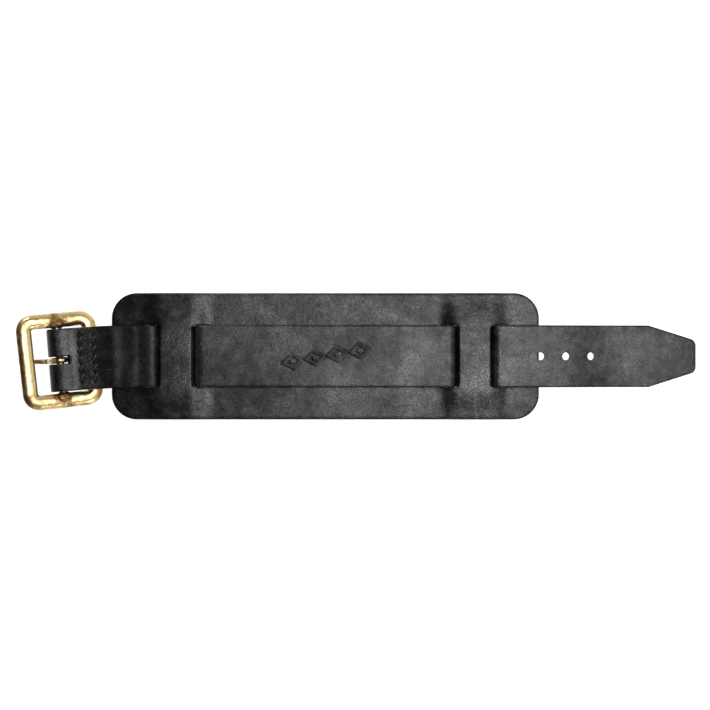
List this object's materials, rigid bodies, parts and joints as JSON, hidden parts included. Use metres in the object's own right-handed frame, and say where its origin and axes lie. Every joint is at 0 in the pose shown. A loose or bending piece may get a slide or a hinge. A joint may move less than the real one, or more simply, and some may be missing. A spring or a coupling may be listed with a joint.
{
  "type": "leather wrist cuff",
  "caption": "Wide leather wrist cuff: a rounded pad with a narrow strap woven through its slots, fastened by a cast buckle with a prong.",
  "frame": {"origin": "middle of the pad's underside, the face that lies on the wrist", "axes": "+X along the strap to its free tip, +Y across the cuff, +Z out of the pad's outer face"},
  "size_m": [0.2393, 0.045, 0.0129],
  "materials": {
    "leather": "satin, waxed and mottled, with burnished edges",
    "brass": "antique, dark in the hollows and polished on the ridges",
    "thread": "waxed black thread"
  },
  "bodies": {
    "cuff_middle": {"pad_middle": "leather", "strap_middle": "leather"},
    "cuff_left_1": {"strap_left_1": "leather", "pad_left_1": "leather"},
    "cuff_left_2": {"strap_left_2": "leather", "pad_left_2": "leather"},
    "cuff_left_3": {"strap_left_3": "leather", "pad_left_3": "leather"},
    "cuff_left_4": {"strap_left_4": "leather", "pad_left_4": "leather"},
    "cuff_left_5": {"strap_left_5": "leather", "pad_left_5": "leather"},
    "cuff_left_6": {"strap_left_6": "leather", "pad_left_6": "leather"},
    "cuff_left_7": {"strap_left_7": "leather", "pad_left_7": "leather"},
    "cuff_left_8": {"strap_left_8": "leather", "pad_left_8": "leather"},
    "cuff_left_9": {"strap_left_9": "leather", "pad_left_9": "leather"},
    "cuff_left_10": {"strap_left_10": "leather", "pad_left_10": "leather"},
    "strap_end": {"strap_left_11": "leather", "stitch_row_outer": "thread", "stitch_row_inner": "thread"},
    "cuff_right_1": {"strap_right_1": "leather", "pad_right_1": "leather"},
    "cuff_right_2": {"strap_right_2": "leather", "pad_right_2": "leather"},
    "cuff_right_3": {"strap_right_3": "leather", "pad_right_3": "leather"},
    "cuff_right_4": {"strap_right_4": "leather", "pad_right_4": "leather"},
    "cuff_right_5": {"strap_right_5": "leather", "pad_right_5": "leather"},
    "cuff_right_6": {"strap_right_6": "leather", "pad_right_6": "leather"},
    "cuff_right_7": {"strap_right_7": "leather", "pad_right_7": "leather"},
    "cuff_right_8": {"strap_right_8": "leather", "pad_right_8": "leather"},
    "cuff_right_9": {"strap_right_9": "leather", "pad_right_9": "leather"},
    "cuff_right_10": {"strap_right_10": "leather", "pad_right_10": "leather"},
    "cuff_right_11": {"strap_right_11": "leather"},
    "cuff_right_12": {"strap_right_12": "leather"},
    "cuff_right_13": {"strap_right_13": "leather"},
    "cuff_right_14": {"strap_right_14": "leather"},
    "cuff_right_15": {"strap_right_15": "leather"},
    "strap_tip": {"strap_right_16": "leather"},
    "buckle": {"buckle_frame": "brass", "centre_bar": "brass"},
    "prong": {"prong": "brass"}
  },
  "joints": [
    {"name": "curl_left_1", "type": "hinge", "parent": "cuff_middle", "child": "cuff_left_1", "pos_m": [-0.0038, 0, 0], "axis": [0, -1, 0], "range_deg": [0, 10]},
    {"name": "curl_left_2", "type": "hinge", "parent": "cuff_left_1", "child": "cuff_left_2", "pos_m": [-0.0114, 0, 0], "axis": [0, -1, 0], "range_deg": [0, 10]},
    {"name": "curl_left_3", "type": "hinge", "parent": "cuff_left_2", "child": "cuff_left_3", "pos_m": [-0.019, 0, 0], "axis": [0, -1, 0], "range_deg": [0, 10]},
    {"name": "curl_left_4", "type": "hinge", "parent": "cuff_left_3", "child": "cuff_left_4", "pos_m": [-0.0266, 0, 0], "axis": [0, -1, 0], "range_deg": [0, 10]},
    {"name": "curl_left_5", "type": "hinge", "parent": "cuff_left_4", "child": "cuff_left_5", "pos_m": [-0.0342, 0, 0], "axis": [0, -1, 0], "range_deg": [0, 10]},
    {"name": "curl_left_6", "type": "hinge", "parent": "cuff_left_5", "child": "cuff_left_6", "pos_m": [-0.0418, 0, 0], "axis": [0, -1, 0], "range_deg": [0, 10]},
    {"name": "curl_left_7", "type": "hinge", "parent": "cuff_left_6", "child": "cuff_left_7", "pos_m": [-0.0494, 0, 0], "axis": [0, -1, 0], "range_deg": [0, 10]},
    {"name": "curl_left_8", "type": "hinge", "parent": "cuff_left_7", "child": "cuff_left_8", "pos_m": [-0.057, 0, 0], "axis": [0, -1, 0], "range_deg": [0, 10]},
    {"name": "curl_left_9", "type": "hinge", "parent": "cuff_left_8", "child": "cuff_left_9", "pos_m": [-0.0646, 0, 0], "axis": [0, -1, 0], "range_deg": [0, 10]},
    {"name": "curl_left_10", "type": "hinge", "parent": "cuff_left_9", "child": "cuff_left_10", "pos_m": [-0.0722, 0, 0], "axis": [0, -1, 0], "range_deg": [0, 10]},
    {"name": "curl_left_11", "type": "hinge", "parent": "cuff_left_10", "child": "strap_end", "pos_m": [-0.0775, -0.0002, 0.0065], "axis": [0.0384, -0.9993, 0], "range_deg": [0, 10]},
    {"name": "curl_right_1", "type": "hinge", "parent": "cuff_middle", "child": "cuff_right_1", "pos_m": [0.0038, 0, 0], "axis": [0, 1, 0], "range_deg": [0, 10]},
    {"name": "curl_right_2", "type": "hinge", "parent": "cuff_right_1", "child": "cuff_right_2", "pos_m": [0.0114, 0, 0], "axis": [0, 1, 0], "range_deg": [0, 10]},
    {"name": "curl_right_3", "type": "hinge", "parent": "cuff_right_2", "child": "cuff_right_3", "pos_m": [0.019, 0, 0], "axis": [0, 1, 0], "range_deg": [0, 10]},
    {"name": "curl_right_4", "type": "hinge", "parent": "cuff_right_3", "child": "cuff_right_4", "pos_m": [0.0266, 0, 0], "axis": [0, 1, 0], "range_deg": [0, 10]},
    {"name": "curl_right_5", "type": "hinge", "parent": "cuff_right_4", "child": "cuff_right_5", "pos_m": [0.0342, 0, 0], "axis": [0, 1, 0], "range_deg": [0, 10]},
    {"name": "curl_right_6", "type": "hinge", "parent": "cuff_right_5", "child": "cuff_right_6", "pos_m": [0.0418, 0, 0], "axis": [0, 1, 0], "range_deg": [0, 10]},
    {"name": "curl_right_7", "type": "hinge", "parent": "cuff_right_6", "child": "cuff_right_7", "pos_m": [0.0494, 0, 0], "axis": [0, 1, 0], "range_deg": [0, 10]},
    {"name": "curl_right_8", "type": "hinge", "parent": "cuff_right_7", "child": "cuff_right_8", "pos_m": [0.057, 0, 0], "axis": [0, 1, 0], "range_deg": [0, 10]},
    {"name": "curl_right_9", "type": "hinge", "parent": "cuff_right_8", "child": "cuff_right_9", "pos_m": [0.0646, 0, 0], "axis": [0, 1, 0], "range_deg": [0, 10]},
    {"name": "curl_right_10", "type": "hinge", "parent": "cuff_right_9", "child": "cuff_right_10", "pos_m": [0.0722, 0, 0], "axis": [0, 1, 0], "range_deg": [0, 10]},
    {"name": "curl_right_11", "type": "hinge", "parent": "cuff_right_10", "child": "cuff_right_11", "pos_m": [0.0807, 0, 0.00236], "axis": [0, 1, 0], "range_deg": [0, 11]},
    {"name": "curl_right_12", "type": "hinge", "parent": "cuff_right_11", "child": "cuff_right_12", "pos_m": [0.0897, 0, 0.00167], "axis": [0, 1, 0], "range_deg": [0, 11]},
    {"name": "curl_right_13", "type": "hinge", "parent": "cuff_right_12", "child": "cuff_right_13", "pos_m": [0.0985, 0, 0.00048], "axis": [0, 1, 0], "range_deg": [0, 11]},
    {"name": "curl_right_14", "type": "hinge", "parent": "cuff_right_13", "child": "cuff_right_14", "pos_m": [0.106, 0, 0.00002], "axis": [0, 1, 0], "range_deg": [0, 10]},
    {"name": "curl_right_15", "type": "hinge", "parent": "cuff_right_14", "child": "cuff_right_15", "pos_m": [0.1135, 0, 0], "axis": [0, 1, 0], "range_deg": [0, 10]},
    {"name": "curl_right_16", "type": "hinge", "parent": "cuff_right_15", "child": "strap_tip", "pos_m": [0.121, 0, 0], "axis": [0, 1, 0], "range_deg": [0, 10]},
    {"name": "frame_swing", "type": "hinge", "parent": "strap_end", "child": "buckle", "pos_m": [-0.0932, -0.00141, 0.00645], "axis": [-0.1115, 0.9938, 0], "range_deg": [0, 130]},
    {"name": "prong_swing", "type": "hinge", "parent": "buckle", "child": "prong", "pos_m": [-0.0932, -0.00141, 0.00645], "axis": [-0.1115, 0.9938, 0], "range_deg": [-80, 26]}
  ],
  "couplings": [
    {"joint": "curl_left_1", "follows": "curl_right_1", "ratio": 1},
    {"joint": "curl_left_2", "follows": "curl_right_1", "ratio": 1},
    {"joint": "curl_left_3", "follows": "curl_right_1", "ratio": 1},
    {"joint": "curl_left_4", "follows": "curl_right_1", "ratio": 1},
    {"joint": "curl_left_5", "follows": "curl_right_1", "ratio": 1},
    {"joint": "curl_left_6", "follows": "curl_right_1", "ratio": 1},
    {"joint": "curl_left_7", "follows": "curl_right_1", "ratio": 1},
    {"joint": "curl_left_8", "follows": "curl_right_1", "ratio": 1},
    {"joint": "curl_left_9", "follows": "curl_right_1", "ratio": 1},
    {"joint": "curl_left_10", "follows": "curl_right_1", "ratio": 1},
    {"joint": "curl_left_11", "follows": "curl_right_1", "ratio": 1},
    {"joint": "curl_right_2", "follows": "curl_right_1", "ratio": 1},
    {"joint": "curl_right_3", "follows": "curl_right_1", "ratio": 1},
    {"joint": "curl_right_4", "follows": "curl_right_1", "ratio": 1},
    {"joint": "curl_right_5", "follows": "curl_right_1", "ratio": 1},
    {"joint": "curl_right_6", "follows": "curl_right_1", "ratio": 1},
    {"joint": "curl_right_7", "follows": "curl_right_1", "ratio": 1},
    {"joint": "curl_right_8", "follows": "curl_right_1", "ratio": 1},
    {"joint": "curl_right_9", "follows": "curl_right_1", "ratio": 1},
    {"joint": "curl_right_10", "follows": "curl_right_1", "ratio": 1},
    {"joint": "curl_right_11", "follows": "curl_right_1", "ratio": 1.1},
    {"joint": "curl_right_12", "follows": "curl_right_1", "ratio": 1.1},
    {"joint": "curl_right_13", "follows": "curl_right_1", "ratio": 1.1},
    {"joint": "curl_right_14", "follows": "curl_right_1", "ratio": 1},
    {"joint": "curl_right_15", "follows": "curl_right_1", "ratio": 1},
    {"joint": "curl_right_16", "follows": "curl_right_1", "ratio": 1}
  ]
}
